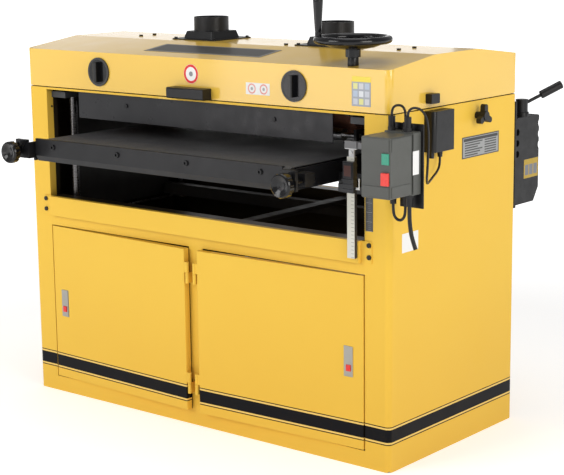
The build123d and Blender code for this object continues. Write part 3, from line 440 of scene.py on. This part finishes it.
def side_plate_material():
    """Ruled rating plate, white labels and the height scale, all without lettering."""
    s = Shader("side_plate_print", (0.80, 0.80, 0.79), 0.4)
    row_pitch, row_height = 0.0068, 0.0036
    short_tick, long_step = 0.005, 0.025
    s.paint(s.band("X", -0.135, -0.075), ENAMEL)
    right = s.math("GREATER_THAN", s.axis("X"), 0.6795)
    plate = s.all_of(right, s.math("LESS_THAN", s.axis("X"), 0.690), s.band("Z", 0.800, 0.865))
    s.paint(plate, (0.05, 0.05, 0.05))
    s.paint(s.all_of(plate, s.band("Z", 0.806, 0.859), s.band("Y", 0.031, 0.210)),
            (0.30, 0.31, 0.31))
    s.paint(s.all_of(plate, s.band("Z", 0.849, 0.857), s.band("Y", 0.034, 0.207)),
            (0.02, 0.02, 0.02))
    for row in range(6):
        z = 0.809 + row * row_pitch
        s.paint(s.all_of(plate, s.band("Z", z, z + row_height),
                         s.band("Y", 0.040, 0.105 + 0.012 * (row % 3))), (0.05, 0.05, 0.05))
        s.paint(s.all_of(plate, s.band("Z", z, z + row_height),
                         s.band("Y", 0.140, 0.200)), (0.05, 0.05, 0.05))
    scale = s.all_of(s.band("X", 0.600, 0.630), s.band("Z", 0.640, 0.770))
    s.paint(scale, (0.055, 0.055, 0.055))
    tick = s.math("FRACT", s.math("MULTIPLY", s.axis("Z"), 1 / short_tick))
    long_tick = s.math("FRACT", s.math("MULTIPLY", s.axis("Z"), 1 / long_step))
    s.paint(s.all_of(scale, s.math("LESS_THAN", tick, 0.2), s.band("X", 0.612, 0.620)),
            (0.16, 0.16, 0.16))
    s.paint(s.all_of(scale, s.math("LESS_THAN", long_tick, 0.05), s.band("X", 0.606, 0.624)),
            (0.24, 0.24, 0.24))
    return s.material


def readout_beam_material():
    """Cream scale on the beam's front, black sides, bright neck and a grey bracket."""
    s = plastic("readout_scale", (0.030, 0.030, 0.032), 0.35)
    front = s.math("LESS_THAN", s.normal_axis("Y"), -0.7)
    beam = s.math("LESS_THAN", s.axis("Z"), 0.8455)
    s.paint(s.all_of(front, beam), (0.62, 0.61, 0.54))
    tick = s.math("LESS_THAN", s.math("FRACT", s.math("MULTIPLY", s.axis("Z"), 1 / 0.010)), 0.14)
    s.paint(s.all_of(front, beam, tick, s.band("X", 0.576, 0.585)), (0.30, 0.29, 0.26))
    s.paint(s.band("Z", 0.8455, 0.868), (0.60, 0.60, 0.60))
    s.paint(s.math("GREATER_THAN", s.axis("Z"), 0.868), (0.16, 0.16, 0.165))
    return s.material


def readout_head_material():
    """Dark head with a dim blank display and a bright pointer."""
    s = plastic("readout_dark", (0.022, 0.022, 0.024), 0.34)
    window = s.all_of(s.math("LESS_THAN", s.axis("Y"), -0.3515), s.band("X", 0.564, 0.586),
                      s.band("Z", 0.797, 0.825))
    s.paint(window, (0.075, 0.035, 0.030))
    s.paint(s.math("GREATER_THAN", s.axis("X"), 0.5945), (0.62, 0.62, 0.60))
    return s.material


def frame_interior_material():
    """Dark paint on the frame inside the cabinet, with painted light that makes it browner towards the
    right.
    """
    s = steel_paint("frame_paint", (0.018, 0.016, 0.014), 0.55)
    # painted light: browner towards the right of the cabinet
    s.paint(s.spread(s.axis("X"), 0, 0.8, -0.2, 0.5), (0.085, 0.062, 0.036))
    return s.material


def gearbox_material():
    """Black casting with a blank yellow and grey label on its outer face."""
    s = plastic("gearbox_black", (0.004, 0.004, 0.005), 0.42)
    face = s.math("GREATER_THAN", s.axis("X"), 0.639)
    label = s.all_of(face, s.band("Y", 0.422, 0.502), s.band("Z", 0.693, 0.749))
    s.paint(label, (0.45, 0.30, 0.03))
    for column in range(3):
        start = 0.428 + column * 0.024
        s.paint(s.all_of(label, s.band("Y", start, start + 0.020),
                         s.band("Z", 0.702, 0.733)), (0.18, 0.19, 0.21))
    return s.material


def dress_nodes():
    """Gives every CAD node its material."""
    sheet = cabinet_sheet_material()
    hood = enamel("enamel_hood", 0.75).material
    dark = steel_paint("satin_black_steel", (0.006, 0.006, 0.007), 0.34).material
    guard = steel_paint("guard_grey", (0.016, 0.016, 0.018), 0.32).material
    frame_paint = frame_interior_material()
    steel = bare_steel("turned_steel").material
    screw = bare_steel("lift_screw_steel", (0.16, 0.155, 0.155), 0.26).material
    cast = steel_paint("cast_grey", (0.045, 0.047, 0.05), 0.5, 0.4).material
    rubber = plastic("lead_rubber", (0.012, 0.012, 0.013), 0.42, 0.15).material
    black = plastic("moulded_black", (0.008, 0.008, 0.009), 0.36).material
    starter = plastic("starter_grey", (0.082, 0.085, 0.078), 0.40).material
    bezel = plastic("bezel_grey", (0.05, 0.05, 0.052), 0.4).material
    gloss = gloss_black()
    looks = {
        "left_side_panel": side_panel_material(-1), "right_side_panel": side_panel_material(1),
        "front_panel": sheet, "rear_panel": sheet, "throat_rails": sheet, "hood_shell": hood,
        "left_door": door_material(-1), "right_door": door_material(1),
        "left_latch_button": plastic("latch_button_red", (0.75, 0.035, 0.03), 0.3, 0.1).material,
        "inner_frame": frame_paint, "drum_guards": guard,
        "bearing_blocks": cast, "lift_chain": steel, "main_motor": frame_paint, "drive_belts": rubber,
        "switch_plate": dark, "switch_base": starter, "switch_cover": starter, "control_box": black,
        "cable_glands": black, "readout_beam": readout_beam_material(),
        "side_plates": side_plate_material(), "cabinet_fasteners": dark, "hood_fittings": black,
        "dust_ports": black, "latch_bezels": bezel, "hood_labels": hood_label_material(),
        "left_hood_latch": gloss, "right_hood_latch": gloss, "handwheel": gloss, "handwheel_grip": gloss,
        "left_tension_knob": gloss, "right_tension_knob": gloss, "motor_pulley": cast,
        "front_drum": abrasive_material(), "pressure_frame": dark, "front_pressure_roller": steel,
        "rear_pressure_roller": steel, "table_frame": dark, "conveyor_belt": belt_material(),
        "end_bars": dark, "take_up_blocks": dark, "idler_roller": steel, "drive_roller": steel,
        "feed_gearbox": gearbox_material(), "speed_lever": black, "readout_head": readout_head_material(),
        "start_button": plastic("button_green", (0.05, 0.30, 0.20), 0.3, 0.1).material,
        "stop_button": plastic("button_red", (0.75, 0.06, 0.05), 0.3, 0.1).material, "side_knob": black,
    }
    looks["right_latch_button"] = looks["left_latch_button"]
    looks["rear_drum"] = looks["front_drum"]
    for end in ("front", "rear"):
        for side in ("left", "right"):
            looks["lift_screw_" + end + "_" + side] = screw
    for name, node in NODES.items():
        node.data.materials.clear()
        node.data.materials.append(looks.get(name, rubber))


# ---- edges ----------------------------------------------------------------------
EDGE_WIDTHS = {
    "left_side_panel": 0.8, "right_side_panel": 0.8, "front_panel": 0.8, "throat_rails": 0.8,
    "left_door": 0.5, "right_door": 0.5, "hood_shell": 1.2, "table_frame": 0.8, "end_bars": 0.9,
    "drum_guards": 0.6, "feed_gearbox": 1.5, "control_box": 1.5, "switch_base": 1.0, "switch_plate": 0.5,
    "readout_head": 0.6, "readout_beam": 0.8, "hood_fittings": 0.8, "take_up_blocks": 0.8,
}


def soften_edges():
    """Rounds the sheet-metal and moulded edges so that they catch the light."""
    for name, width in EDGE_WIDTHS.items():
        node = NODES[name]
        weld = node.modifiers.new("weld", "WELD")
        weld.merge_threshold = 0.00002
        bevel = node.modifiers.new("bevel", "BEVEL")
        bevel.width = width / 1000
        bevel.segments = 2
        bevel.limit_method = "ANGLE"
        bevel.angle_limit = math.radians(35)
        bevel.harden_normals = True


# ---- cords ----------------------------------------------------------------------
POWER_CORD = ((758, -334, 735), (758, -334, 709), (761, -334.5, 680), (767, -334.5, 651), (777, -333, 625))
TOP_LOOP = ((703, -334, 962), (703, -334, 976), (711, -331.5, 988), (728, -327, 989), (737, -324.5, 978),
            (738, -324, 962), (738, -324, 947))
LOW_LOOP = ((708, -334, 737), (708, -334, 720), (711, -333, 704), (720, -330.5, 695), (729, -327, 695),
            (736, -324, 704), (738, -323, 720), (738, -323, 737))
CONTROL_LEAD = ((754.5, -337, 962), (754.5, -337, 975), (762, -328, 985), (775, -314, 982), (783, -301, 966),
                (785, -293, 940), (784, -288, 902), (780, -284, 862), (774, -278, 822), (764, -266, 794),
                (745, -236, 776), (722, -182, 782), (705, -128, 794), (697, -106, 808), (697, -106, 829))


def cord(name, node, route, radius, material):
    """One round lead along its route, given in millimetres."""
    curve = bpy.data.curves.new(name, "CURVE")
    curve.dimensions = "3D"
    curve.bevel_depth = radius
    curve.bevel_resolution = 6
    curve.use_fill_caps = True
    spline = curve.splines.new("NURBS")
    spline.points.add(len(route) - 1)
    for point, place in zip(spline.points, route):
        point.co = (place[0] / 1000, place[1] / 1000, place[2] / 1000, 1)
    spline.order_u = 3
    spline.use_endpoint_u = True
    spline.resolution_u = 16
    curve.materials.append(material)
    piece = bpy.data.objects.new(name, curve)
    bpy.context.scene.collection.objects.link(piece)
    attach(piece, "cabinet")
    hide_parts(node)
    return piece


def make_cords():
    sheath = plastic("cord_sheath", (0.011, 0.011, 0.012), 0.38, 0.1).material
    cord("power_lead", "power_cord", POWER_CORD, 0.0055, sheath)
    cord("top_loop", "top_lead_loop", TOP_LOOP, 0.0032, sheath)
    cord("bottom_loop", "bottom_lead_loop", LOW_LOOP, 0.0038, sheath)
    cord("control_wire", "control_lead", CONTROL_LEAD, 0.0032, sheath)


make_camera()
make_cords()
make_studio()
dress_nodes()
soften_edges()
